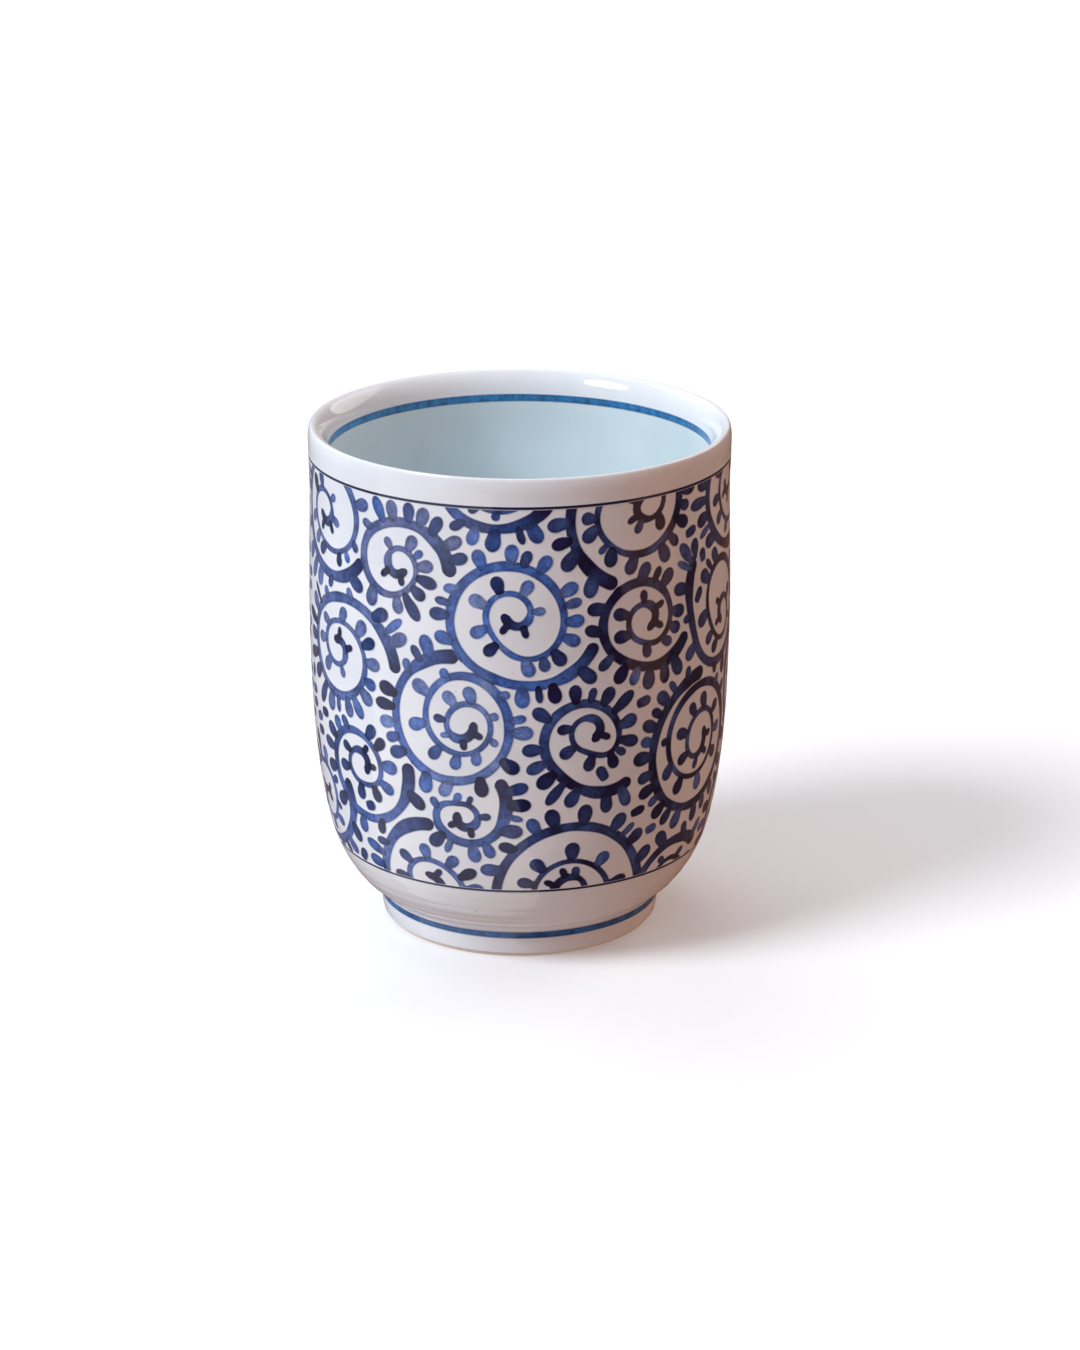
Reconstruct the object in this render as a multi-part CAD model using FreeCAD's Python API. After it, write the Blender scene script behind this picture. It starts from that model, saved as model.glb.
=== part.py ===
import FreeCAD, Part
import os

# A handleless porcelain teacup (yunomi), painted in cobalt blue under a clear glaze.
# Millimetres.  +Z is the cup's axis, and z = 0 is the flat edge that the cup rests on.
# Every solid is turned round +Z: its section is drawn in the XZ plane as (radius, height)
# points, and revolved.  The outlines are those of the glazed surface, and the clay lies one
# glaze thickness under them.  The painted bands lie on the clay, inside the glaze.

V = FreeCAD.Vector

# ---- driving dimensions ----
height = 86.1                   # resting edge to the top of the lip
rim_radius = 35.0               # outside of the lip
belly_radius = 35.2             # widest part of the wall
belly_height = 56.0
glaze_thickness = 0.3           # clear glaze over the fired clay
pigment_thickness = 0.08        # painted cobalt, on the clay and under the glaze

lip_crest_radius = 34.4         # top of the rounded lip
lip_inner_radius = 33.0         # inner shoulder of the lip
inside_radius = 31.7            # inner wall, a little below the lip
inside_floor_height = 9.0       # glazed floor of the bowl, at the axis

foot_height = 5.2               # where the foot ring's outside meets the wall
foot_top_radius = 23.75         # outside of the foot ring, just below the wall
foot_edge_radius = 23.3         # outside of the foot ring, where its glaze ends
resting_edge = (20.4, 22.5)     # inner and outer radius of the flat, bare resting edge
bare_height = 0.8               # clay left without glaze above the resting edge
edge_bevel_height = 0.22        # middle of the rounding beside the resting edge
edge_bevel_swell = 0.08         # how far that rounding stands out from a straight bevel
recess_height = 4.7             # glazed underside of the cup, inside the foot ring
recess_radius = 19.0            # inside of the foot ring, at mid height
recess_edge_radius = 19.55      # inside of the foot ring, where its glaze ends
foot_joint_height = 5.0         # the turned foot ring ends here, against the cup's floor
foot_joint_radius = 17.4

foot_band = (3.55, 4.75)        # lowest and highest edge of each painted band
lower_border = (14.95, 15.5)
upper_border = (81.15, 81.7)
inner_rim_band = (81.05, 82.25)
decoration_gap = 0.15           # between the border lines and the decorated zone
past_the_wall = 2 * rim_radius  # a radius well outside the cup, for section boxes

# ---- outlines of the glazed surface: (radius, height) points, and the directions at the ends ----
outside = {
    "points": [
        (foot_edge_radius, bare_height),
        (foot_top_radius - 0.12, 2.6),
        (foot_top_radius, foot_height - 0.8),
        (foot_top_radius + 0.3, foot_height + 0.1),
        (foot_top_radius + 1.15, foot_height + 0.75),
        (26.65, 7.3),
        (28.6, 9.6),
        (30.5, 12.8),
        (32.1, 17.2),
        (33.35, 23.2),
        (34.4, 31.5),
        (35.0, 42.5),
        (belly_radius, belly_height),
        (34.95, 69.0),
        (34.85, 77.5),
        (rim_radius, 83.4),
        (rim_radius - 0.1, height - 0.85),
        (lip_crest_radius, height),
    ],
    "start": (0.25, 1.0),
    "end": (-1.0, 0.0),
}
inside = {
    "points": [
        (lip_crest_radius, height),
        (lip_inner_radius, height - 0.85),
        (inside_radius + 0.2, height - 3.2),
        (inside_radius, height - 7.5),
        (31.8, 68.0),
        (31.95, 56.0),
        (31.75, 43.0),
        (31.1, 31.5),
        (29.7, 22.5),
        (27.0, 16.2),
        (22.3, 11.9),
        (15.0, 9.8),
        (7.0, inside_floor_height + 0.15),
        (0.0, inside_floor_height),
    ],
    "start": (-1.0, 0.0),
    "end": (-1.0, 0.0),
}
recess = {
    "points": [
        (0.0, recess_height),
        (8.0, recess_height - 0.02),
        (15.5, recess_height - 0.1),
        (recess_radius - 0.75, recess_height - 0.75),
        (recess_radius, recess_height - 2.2),
        (recess_edge_radius, bare_height),
    ],
    "start": (1.0, 0.0),
    "end": (0.5, -1.0),
}


def smooth_curve(outline):
    """The outline as one smooth curve in the XZ plane, leaving both ends in their directions."""
    curve = Part.BSplineCurve()
    curve.interpolate(
        Points=[V(radius, 0, z) for radius, z in outline["points"]],
        InitialTangent=V(outline["start"][0], 0, outline["start"][1]).normalize(),
        FinalTangent=V(outline["end"][0], 0, outline["end"][1]).normalize(),
        Scale=False,
    )
    return curve


def lowered(outline, depth):
    """The outline moved into the clay, which is on the left of its direction of travel."""
    curve = smooth_curve(outline)
    points = []
    for radius, z in outline["points"]:
        along = curve.tangent(curve.parameter(V(radius, 0, z)))[0]
        moved = (max(0.0, radius - along.z * depth), z + along.x * depth)
        points.append(moved)
    return {"points": points, "start": outline["start"], "end": outline["end"]}


def line(first, last):
    """A straight edge between two (radius, height) points."""
    return Part.makeLine(V(first[0], 0, first[1]), V(last[0], 0, last[1]))


def arc(first, middle, last):
    """A round edge through three (radius, height) points."""
    ends = [V(radius, 0, z) for radius, z in (first, middle, last)]
    return Part.Arc(*ends).toShape()


def face_of(edges):
    """The flat section that a ring of edges encloses."""
    return Part.Face(Part.Wire(Part.__sortEdges__(edges)))


def coat(outline, top, bottom):
    """The section of a coat on the outline, from depth top to depth bottom."""
    near = lowered(outline, top)
    far = lowered(outline, bottom)
    edges = [smooth_curve(near).toShape(), smooth_curve(far).toShape()]
    edges.append(line(near["points"][0], far["points"][0]))
    edges.append(line(near["points"][-1], far["points"][-1]))
    return face_of(edges)


def box_section(inner, outer, low, high):
    """A rectangle of the section plane."""
    corners = [(inner, low), (outer, low), (outer, high), (inner, high), (inner, low)]
    return face_of([line(a, b) for a, b in zip(corners, corners[1:])])


def band(outline, span):
    """The section of a painted band on the outline, between two heights."""
    pigment = coat(outline, glaze_thickness - pigment_thickness, glaze_thickness)
    return pigment.common(box_section(foot_joint_radius, past_the_wall, span[0], span[1]))


def clay_section():
    """The whole fired clay, from the axis to the wall and from the resting edge to the lip."""
    outer = lowered(outside, glaze_thickness)
    inner = lowered(inside, glaze_thickness)
    under = lowered(recess, glaze_thickness)
    outer_start = outer["points"][0]
    under_end = under["points"][-1]
    edge_inner = (resting_edge[0], 0.0)
    edge_outer = (resting_edge[1], 0.0)
    inner_middle = (under_end[0] + edge_inner[0]) / 2 - edge_bevel_swell
    outer_middle = (outer_start[0] + edge_outer[0]) / 2 + edge_bevel_swell
    return face_of([
        smooth_curve(outer).toShape(),
        smooth_curve(inner).toShape(),
        line(inner["points"][-1], under["points"][0]),
        smooth_curve(under).toShape(),
        arc(under_end, (inner_middle, edge_bevel_height), edge_inner),
        line(edge_inner, edge_outer),
        arc(edge_outer, (outer_middle, edge_bevel_height), outer_start),
    ])


def turned(section):
    """A section turned once round the cup's axis."""
    made = section.revolve(V(0, 0, 0), V(0, 0, 1), 360)
    return made.Solids[0]


clay = clay_section()
foot_corner = box_section(foot_joint_radius, past_the_wall, 0.0, foot_joint_height)
decorated_zone = (lower_border[1] + decoration_gap, upper_border[0] - decoration_gap)

painted_outside = {
    "foot_band": band(outside, foot_band),
    "lower_border_line": band(outside, lower_border),
    "arabesque_layer": band(outside, decorated_zone),
    "upper_border_line": band(outside, upper_border),
}
painted_inside = {"inner_rim_band": band(inside, inner_rim_band)}


def glaze_over(outline, painted):
    """A coat of clear glaze, relieved where the painted bands lie under it."""
    section = coat(outline, 0.0, glaze_thickness)
    for painted_band in painted.values():
        section = section.cut(painted_band)
    return section


sections = {
    "porcelain_body": clay.cut(foot_corner),
    "foot_ring": clay.common(foot_corner),
    "outer_glaze": glaze_over(outside, painted_outside),
    "inner_glaze": glaze_over(inside, painted_inside),
    "foot_recess_glaze": glaze_over(recess, {}),
}
sections.update(painted_outside)
sections.update(painted_inside)

os.makedirs("parts", exist_ok=True)
for name, section in sections.items():
    solid = turned(section)
    solid.exportStep("parts/" + name + ".step")
    print(name, round(solid.Volume, 2), "mm3, valid:", solid.isValid())
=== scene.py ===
import math

import bmesh
import bpy
import numpy as np
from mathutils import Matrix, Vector
from mathutils.kdtree import KDTree


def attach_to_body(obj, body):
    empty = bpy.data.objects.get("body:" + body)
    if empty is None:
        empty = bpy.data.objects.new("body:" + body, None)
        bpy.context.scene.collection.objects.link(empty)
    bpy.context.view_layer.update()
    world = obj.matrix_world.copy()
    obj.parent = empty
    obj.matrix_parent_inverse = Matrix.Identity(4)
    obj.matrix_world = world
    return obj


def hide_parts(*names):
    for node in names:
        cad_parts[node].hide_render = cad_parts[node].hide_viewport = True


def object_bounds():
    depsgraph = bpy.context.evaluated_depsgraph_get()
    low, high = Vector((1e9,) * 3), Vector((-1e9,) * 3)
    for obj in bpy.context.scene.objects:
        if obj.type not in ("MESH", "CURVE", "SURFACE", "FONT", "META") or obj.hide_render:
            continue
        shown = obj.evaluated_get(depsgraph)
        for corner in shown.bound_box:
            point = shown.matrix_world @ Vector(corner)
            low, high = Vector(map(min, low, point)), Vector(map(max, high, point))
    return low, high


# A porcelain teacup with octopus scrolls painted in cobalt under a clear glaze.
# Lengths in this script are millimetres, as in the CAD source, until MM turns them into metres.
# Angles go round the cup's axis: 0 faces -Y, which is the side the camera sees, and 90 is +X.

MM = 0.001
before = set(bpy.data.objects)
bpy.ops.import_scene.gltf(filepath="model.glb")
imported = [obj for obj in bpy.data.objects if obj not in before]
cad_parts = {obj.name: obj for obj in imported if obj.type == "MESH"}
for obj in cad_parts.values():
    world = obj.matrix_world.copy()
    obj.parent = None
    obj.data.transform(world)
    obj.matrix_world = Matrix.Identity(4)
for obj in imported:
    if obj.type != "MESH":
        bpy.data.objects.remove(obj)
cad_low, cad_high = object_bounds()

HEIGHT = cad_high.z / MM
RIM_RADIUS = 35.0
GLAZE = 0.3  # thickness of the glaze
SEGMENTS = 288  # facets round a turned piece
FACET_STEP = 0.9  # the longest facet along an outline
FACET_TURN = math.radians(5)  # and the most that the outline bends over one
OUTLINE_POINTS = 6000
ON_AXIS = 1e-6  # a smaller radius than this counts as the axis
SHARP_EDGE = math.radians(40)

# -------- outlines, as in the CAD source
FOOT_HEIGHT = 5.2
FOOT_TOP = 23.75
FOOT_EDGE = 23.3
BARE = 0.8  # the glaze stops this far above the table
RESTING_EDGE = (20.4, 22.5)
EDGE_BEVEL = (0.22, 0.08)  # height and swell of the rounding beside the resting edge
LIP_CREST = 34.4
INSIDE_RADIUS = 31.7
FLOOR = 9.0
RECESS_HEIGHT = 4.7
RECESS_RADIUS = 19.0
RECESS_EDGE = 19.55
FOOT_JOINT = (17.4, 5.0)

OUTSIDE = {
    "points": [
        (FOOT_EDGE, BARE), (FOOT_TOP - 0.12, 2.6), (FOOT_TOP, FOOT_HEIGHT - 0.8),
        (FOOT_TOP + 0.3, FOOT_HEIGHT + 0.1), (FOOT_TOP + 1.15, FOOT_HEIGHT + 0.75),
        (26.65, 7.3), (28.6, 9.6), (30.5, 12.8), (32.1, 17.2), (33.35, 23.2), (34.4, 31.5),
        (35.0, 42.5), (35.2, 56.0), (34.95, 69.0), (34.85, 77.5), (RIM_RADIUS, 83.4),
        (RIM_RADIUS - 0.1, HEIGHT - 0.85), (LIP_CREST, HEIGHT),
    ],
    "start": (0.25, 1.0),
    "end": (-1.0, 0.0),
}
INSIDE = {
    "points": [
        (LIP_CREST, HEIGHT), (33.0, HEIGHT - 0.85), (INSIDE_RADIUS + 0.2, HEIGHT - 3.2),
        (INSIDE_RADIUS, HEIGHT - 7.5), (31.8, 68.0), (31.95, 56.0), (31.75, 43.0), (31.1, 31.5),
        (29.7, 22.5), (27.0, 16.2), (22.3, 11.9), (15.0, 9.8), (7.0, FLOOR + 0.15), (0.0, FLOOR),
    ],
    "start": (-1.0, 0.0),
    "end": (-1.0, 0.0),
}
RECESS = {
    "points": [
        (0.0, RECESS_HEIGHT), (8.0, RECESS_HEIGHT - 0.02), (15.5, RECESS_HEIGHT - 0.1),
        (RECESS_RADIUS - 0.75, RECESS_HEIGHT - 0.75), (RECESS_RADIUS, RECESS_HEIGHT - 2.2),
        (RECESS_EDGE, BARE),
    ],
    "start": (1.0, 0.0),
    "end": (0.5, -1.0),
}

# Faint rings that the turning tool left in the white zone above the foot: height and depth.
TURNING_RINGS = [(7.0, 0.05), (8.7, 0.07), (10.6, 0.05), (12.6, 0.03)]
TURNING_RING_WIDTH = 0.35


def smooth(outline, count):
    """count points along the smooth curve through the outline, which is clamped at both ends."""
    knots = np.array(outline["points"], float)
    chords = np.hypot(*np.diff(knots, axis=0).T)
    at = np.r_[0, np.cumsum(chords)]
    ends = [np.array(outline[k]) / np.hypot(*outline[k]) for k in ("start", "end")]
    size = len(knots)
    matrix = np.zeros((size, size))
    right = np.zeros((size, 2))
    matrix[0, 0] = matrix[-1, -1] = 1
    right[0], right[-1] = ends
    for i in range(1, size - 1):
        before, after = chords[i - 1], chords[i]
        matrix[i, i - 1:i + 2] = after, 2 * (before + after), before
        rise_before = (knots[i] - knots[i - 1]) / before
        rise_after = (knots[i + 1] - knots[i]) / after
        right[i] = 3 * (after * rise_before + before * rise_after)
    slopes = np.linalg.solve(matrix, right)
    t = np.linspace(0, at[-1], count)
    piece = np.clip(np.searchsorted(at, t, side="right") - 1, 0, size - 2)
    h = chords[piece][:, None]
    u = ((t - at[piece]) / chords[piece])[:, None]
    p0, p1, m0, m1 = knots[piece], knots[piece + 1], slopes[piece] * h, slopes[piece + 1] * h
    return ((2 * u ** 3 - 3 * u ** 2 + 1) * p0 + (u ** 3 - 2 * u ** 2 + u) * m0
            + (3 * u ** 2 - 2 * u ** 3) * p1 + (u ** 3 - u ** 2) * m1)


def turned(theta, r, z):
    """Points of the outline, or directions in its plane, turned round the axis to theta."""
    return np.stack([r * np.sin(theta), -r * np.cos(theta), z], -1)


class Skin:
    """A glazed surface of the cup: its outline as dense points, with lengths along it."""

    def __init__(self, outline, rings=()):
        line = smooth(outline, OUTLINE_POINTS)
        for height, depth in rings:
            near = np.exp(-((line[:, 1] - height) / TURNING_RING_WIDTH) ** 2)
            line[:, 0] -= depth * near
        self.line = line
        self.length = np.r_[0, np.cumsum(np.hypot(*np.diff(line, axis=0).T))]
        along = np.gradient(line, self.length, axis=0)
        along /= np.hypot(*along.T)[:, None]
        self.out = np.c_[along[:, 1], -along[:, 0]]
        self.turn = np.unwrap(np.arctan2(along[:, 1], along[:, 0]))

    def _look_up(self, table, s):
        return np.interp(s, self.length, table)

    def radius(self, s):
        return self._look_up(self.line[:, 0], s)

    def s_at_height(self, z):
        rising = self.line[:, 1][-1] > self.line[:, 1][0]
        heights = self.line[:, 1] if rising else -self.line[:, 1]
        return np.interp(z if rising else -np.asarray(z), heights, self.length)

    def place(self, theta, s, lift):
        """Points in space at angle theta (radians) and length s, lift above the surface."""
        r, z = (self._look_up(self.line[:, k], s) + lift * self._look_up(self.out[:, k], s)
                for k in (0, 1))
        return turned(theta, r, z)

    def normal(self, theta, s):
        return turned(theta, *(self._look_up(self.out[:, k], s) for k in (0, 1)))

    def spaced(self, depth=0.0):
        """Points along the outline, closer together where it bends, depth under the surface."""
        bends = np.r_[0, np.cumsum(np.abs(np.diff(self.turn)))]
        measure = self.length / FACET_STEP + bends / FACET_TURN
        want = np.linspace(0, measure[-1], int(measure[-1]) + 2)
        s = np.interp(want, measure, self.length)
        points = np.c_[self._look_up(self.line[:, 0] - depth * self.out[:, 0], s),
                       self._look_up(self.line[:, 1] - depth * self.out[:, 1], s)]
        points[:, 0] = np.maximum(points[:, 0], 0)
        return points


outside = Skin(OUTSIDE, TURNING_RINGS)
inside = Skin(INSIDE)
recess = Skin(RECESS)


# -------- making pieces
def finish_mesh(name, vertices, faces, material):
    """A smooth-shaded mesh object in metres, from points in millimetres."""
    mesh = bpy.data.meshes.new(name)
    mesh.from_pydata([tuple(v) for v in np.asarray(vertices) * MM], [], faces)
    mesh.materials.append(material)
    mesh.shade_smooth()
    piece = bpy.data.objects.new(name, mesh)
    bpy.context.scene.collection.objects.link(piece)
    return piece


def register(piece, slot, *nodes):
    """The piece moves with the cup and stands for CAD nodes, which are hidden. slot is not used."""
    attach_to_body(piece, "root")
    if nodes:
        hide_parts(*nodes)
    return piece


def quads(rows):
    """Faces between neighbouring rows of vertex numbers."""
    return [[low[k], low[k + 1], high[k + 1], high[k]]
            for low, high in zip(rows, rows[1:]) for k in range(len(low) - 1)]


def lathe(name, section, material, closed):
    """A section of (radius, height) points turned round the axis. A closed section is a ring's."""
    angles = np.linspace(0, 2 * math.pi, SEGMENTS, endpoint=False)
    vertices, rows = [], []
    for radius, z in section:
        first = len(vertices)
        if radius < ON_AXIS:
            vertices.append((0.0, 0.0, z))
            rows.append([first] * (SEGMENTS + 1))
            continue
        vertices.extend((radius * math.sin(a), -radius * math.cos(a), z) for a in angles)
        rows.append([*range(first, first + SEGMENTS), first])
    if closed:
        rows.append(rows[0])
    faces = [list(dict.fromkeys(face)) for face in quads(rows)]  # triangles at the axis
    faces = [face for face in faces if len(face) > 2]
    piece = finish_mesh(name, vertices, faces, material)
    work = bmesh.new()
    work.from_mesh(piece.data)
    bmesh.ops.recalc_face_normals(work, faces=work.faces)
    work.to_mesh(piece.data)
    work.free()
    piece.data.set_sharp_from_angle(angle=SHARP_EDGE)
    return piece


# -------- materials
def linear(hex_colour):
    """An sRGB colour such as 3b5fb0, as linear RGB."""
    parts = [int(hex_colour[i:i + 2], 16) / 255 for i in (0, 2, 4)]
    return tuple(c / 12.92 if c <= 0.04045 else ((c + 0.055) / 1.055) ** 2.4 for c in parts)


MIX_A, MIX_B, MIX_RESULT = 6, 7, 2  # the colour sockets of a Mix node


def colour_of(node):
    """A node's colour output."""
    return node.outputs[MIX_RESULT] if node.bl_idname == "ShaderNodeMix" else node.outputs["Color"]


class Nodes:
    """A node tree, to which nodes are added and linked by name."""

    def __init__(self, tree):
        self.nodes, self.links = tree.nodes, tree.links

    def add(self, kind, **values):
        node = self.nodes.new(kind)
        for key, value in values.items():
            if key in node.inputs:
                node.inputs[key].default_value = value
            else:
                setattr(node, key, value)
        return node

    def link(self, source, output, target, socket):
        self.links.new(source.outputs[output], target.inputs[socket])

    def ramp(self, source, output, stops):
        """A colour ramp over a source's output; stops are (position, linear colour)."""
        ramp = self.add("ShaderNodeValToRGB")
        elements = ramp.color_ramp.elements
        while len(elements) < len(stops):
            elements.new(0.5)
        for element, (position, colour) in zip(elements, stops):
            element.position = position
            element.color = (*colour, 1.0)
        self.link(source, output, ramp, "Fac")
        return ramp


class Shader(Nodes):
    """A node material round one Principled shader."""

    def __init__(self, name, **sockets):
        self.material = bpy.data.materials.new(name)
        self.material.use_nodes = True
        super().__init__(self.material.node_tree)
        self.main = self.nodes["Principled BSDF"]
        for socket, value in sockets.items():
            self.main.inputs[socket.replace("_", " ")].default_value = value

    def noise(self, scale, detail, roughness=0.5):
        """Noise in the object's own space, at scale features a metre."""
        place = self.add("ShaderNodeTexCoord")
        noise = self.add("ShaderNodeTexNoise", Scale=scale, Detail=detail, Roughness=roughness)
        self.link(place, "Object", noise, "Vector")
        return noise

    def blend(self, kind):
        """A node that mixes two colours by its factor."""
        return self.add("ShaderNodeMix", data_type="RGBA", blend_type=kind)

    def multiplied(self, one, other, share=1.0):
        """Two colours multiplied, the second one only by its share."""
        mix = self.blend("MULTIPLY")
        mix.inputs["Factor"].default_value = share
        self.links.new(colour_of(one), mix.inputs[MIX_A])
        self.links.new(colour_of(other), mix.inputs[MIX_B])
        return mix

    def bump(self, source, strength, distance):
        """A bump from a noise; distance is in metres."""
        bump = self.add("ShaderNodeBump", Strength=strength, Distance=distance)
        self.link(source, "Fac", bump, "Height")
        self.link(bump, "Normal", self.main, "Normal")
        return bump

    def colour(self, source):
        """Gives the shader a node's colour."""
        self.links.new(colour_of(source), self.main.inputs["Base Color"])

    def rippled(self):
        """The soft ripple in a glaze's surface and in its clear coat."""
        bump = self.bump(self.noise(*RIPPLE), *RIPPLE_BUMP)
        self.link(bump, "Normal", self.main, "Coat Normal")


WHITE_GLAZE = (linear("e6eaee"), linear("eef1f3"))
BLUE_GLAZE = (linear("d6e6ea"), linear("e0eef2"))
SPECK = linear("b5aa98")
PURE = (1, 1, 1)  # a multiplier that changes nothing
CLAY_TONES = (linear("d9d3c8"), linear("ebe7df"))
BLED = linear("dfe4ee")  # the white that a stroke's edge runs out into
BLUE_BELOW = (80.6, 82.6)  # the inside's pale blue starts under the painted band
GLAZE_LOOK = {
    "Roughness": 0.5, "Specular_IOR_Level": 0.0,
    "Coat_Weight": 1.0, "Coat_Roughness": 0.04, "Coat_IOR": 1.5,
}
CLAY_LOOK = {"Roughness": 0.75, "IOR": 1.45}

# The noises: features a metre, detail and, where it isn't the usual 0.5, roughness.
CLOUDS = (60, 4)
SPECKS = (900, 1)
RIPPLE = (220, 2)
GRAIN = (2500, 4, 0.7)
WASHES = ((600, 6, 0.62), (2400, 3, 0.62))
WASH_DARKS = (0.46, 0.78)  # what thick cobalt multiplies its colour by, for each wash
BLUER = 1.1  # and how much bluer it is there
RIPPLE_BUMP = (0.12, 0.0004)  # strength, and distance in metres
GRAIN_BUMP = (0.4, 0.0001)


def glazed_white(name, tones, tones_above=None):
    """White porcelain under clear glaze: faint clouding, a few small specks, a soft ripple.
    With tones_above, the tones change to those from BLUE_BELOW upwards."""
    shader = Shader(name, **GLAZE_LOOK)
    clouds = shader.noise(*CLOUDS)
    tint = shader.ramp(clouds, "Fac", [(0.35, tones[0]), (0.65, tones[1])])
    if tones_above:
        above = shader.ramp(clouds, "Fac", [(0.35, tones_above[0]), (0.65, tones_above[1])])
        place = shader.add("ShaderNodeTexCoord")
        height = shader.add("ShaderNodeSeparateXYZ")
        share = shader.add("ShaderNodeMapRange")
        share.inputs["From Min"].default_value = BLUE_BELOW[0] * MM
        share.inputs["From Max"].default_value = BLUE_BELOW[1] * MM
        shader.link(place, "Object", height, "Vector")
        shader.link(height, "Z", share, "Value")
        change = shader.blend("MIX")
        shader.link(share, "Result", change, "Factor")
        shader.links.new(colour_of(tint), change.inputs[MIX_A])
        shader.links.new(colour_of(above), change.inputs[MIX_B])
        tint = change
    speck = shader.ramp(shader.noise(*SPECKS), "Fac", [(0.0, PURE), (0.79, PURE), (0.84, SPECK)])
    mix = shader.multiplied(tint, speck, share=0.5)
    shader.colour(mix)
    shader.rippled()
    return shader.material


def bare_clay(name):
    """Unglazed, sanded porcelain: matt, warmer, finely grained."""
    shader = Shader(name, **CLAY_LOOK)
    grain = shader.noise(*GRAIN)
    shader.colour(shader.ramp(grain, "Fac", [(0.3, CLAY_TONES[0]), (0.7, CLAY_TONES[1])]))
    shader.bump(grain, *GRAIN_BUMP)
    return shader.material


def cobalt(name):
    """Brushed cobalt under the glaze. The ink attribute holds each stroke's own colour, and
    fade is 0 along its edges, where the ink has run a little into the white."""
    shader = Shader(name, **GLAZE_LOOK)
    ink = shader.add("ShaderNodeAttribute", attribute_name="ink")
    fade = shader.add("ShaderNodeAttribute", attribute_name="fade")
    uneven = ink
    for wash, dark in zip(WASHES, WASH_DARKS):
        thick = (dark, dark, dark * BLUER)
        tint = shader.ramp(shader.noise(*wash), "Fac", [(0.34, thick), (0.62, PURE)])
        uneven = shader.multiplied(uneven, tint)
    bleed = shader.blend("MIX")
    bleed.inputs[MIX_A].default_value = (*BLED, 1)
    shader.links.new(fade.outputs["Fac"], bleed.inputs["Factor"])
    shader.links.new(colour_of(uneven), bleed.inputs[MIX_B])
    shader.colour(bleed)
    shader.rippled()
    return shader.material


white = glazed_white("white_glazed_porcelain", WHITE_GLAZE)
pale_blue = glazed_white("pale_blue_glazed_porcelain", BLUE_GLAZE, WHITE_GLAZE)
clay = bare_clay("bare_porcelain")
paint = cobalt("underglaze_cobalt")


# -------- the cup's clay and glaze
def coat_section(skin):
    """A coat's closed section: along the surface, and back one glaze thickness under it."""
    return np.r_[skin.spaced(), skin.spaced(depth=GLAZE)[::-1]]


def clay_sections():
    """The clay of the bowl, from axis to axis, and of the foot ring, as a closed ring."""
    outer = outside.spaced(depth=GLAZE)
    inner = inside.spaced(depth=GLAZE)
    under = recess.spaced(depth=GLAZE)
    joint_radius, joint_height = FOOT_JOINT
    joint_outer = np.interp(joint_height, outer[:, 1], outer[:, 0])
    joint_under = np.interp(joint_radius, under[:, 0], under[:, 1])
    wall = outer[outer[:, 1] > joint_height]
    ceiling = under[under[:, 0] < joint_radius]
    bowl = np.r_[ceiling, [(joint_radius, joint_under), (joint_radius, joint_height),
                           (joint_outer, joint_height)], wall, inner]
    side = outer[outer[:, 1] < joint_height]
    hollow = under[under[:, 0] > joint_radius]
    bevel_z, swell = EDGE_BEVEL
    edge = [((hollow[-1][0] + RESTING_EDGE[0]) / 2 - swell, bevel_z), (RESTING_EDGE[0], 0.0),
            (RESTING_EDGE[1], 0.0), ((side[0][0] + RESTING_EDGE[1]) / 2 + swell, bevel_z)]
    foot = np.r_[[(joint_radius, joint_height), (joint_radius, joint_under)], hollow, edge, side,
                 [(joint_outer, joint_height)]]
    return bowl, foot


bowl_section, foot_section = clay_sections()
register(lathe("bowl_clay", bowl_section, clay, False), "porcelain", "porcelain_body")
register(lathe("foot_clay", foot_section, clay, True), "bare_foot_clay", "foot_ring")
register(lathe("glaze_outside", coat_section(outside), white, True), "clear_glaze", "outer_glaze")
register(lathe("glaze_inside", coat_section(inside), pale_blue, False), "tinted_glaze", "inner_glaze")
register(lathe("glaze_recess", coat_section(recess), white, False), "clear_glaze", "foot_recess_glaze")


# -------- the brush
FILM = 0.05  # the painted film's thickness, part of it inside the glaze
LIFT = 0.016  # how far its face stands over the glaze, so that it shows
STROKE_RISE = 0.004  # a stroke lies this much higher at its end, so that it can cross itself
VINE_LAYERS = (0.0, 0.005, 0.01)  # vines that cross lie at different lifts
LEAF_LAYER = 0.02  # and leaves lie over all vines
LINE_LAYER = 0.026  # the lines painted on the wheel cover the scrolls' cut ends
FEATHER = 0.2  # width of a stroke's soft edge
WIDENED = FEATHER * 0.4  # a stroke is drawn this much wider, for the part that fades out
SOFT_SHARE = 0.45  # the soft edge takes no more than this share of a narrow stroke
OVERLAP = 0.72  # how much darker cobalt is where two strokes cross
POOLED = 0.72  # and where it has pooled along a stroke's edge
THIN = 1.06  # it is lighter along the middle
BORDER_WIDTH = 0.42
LOWER_BORDER = 15.25
UPPER_BORDER = 81.4
RIM_BAND = (81.65, 1.3)  # height and width
FOOT_BAND = (4.15, 1.2)
LINE_CORNERS = 720  # points round a line painted on the wheel
LEAF_CORNERS = 18  # points round a leaf
BROADEST = 0.6  # where a leaf is broadest, as a share of its length
LEAF_MIDDLE = 0.55
MERGED = 2e-8  # metres: points of a mesh that are closer become one

INK_DARK = np.array(linear("0f184b"))
INK_BLUE = np.array(linear("4d7acb"))
INK_PALE = np.array(linear("9db0dc"))
INK_GREY = np.array(linear("6c78a4"))
INK_RIM = np.array(linear("338ecb"))
INK_FOOT = np.array(linear("3a79b8"))

rng = np.random.default_rng(7)


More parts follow.
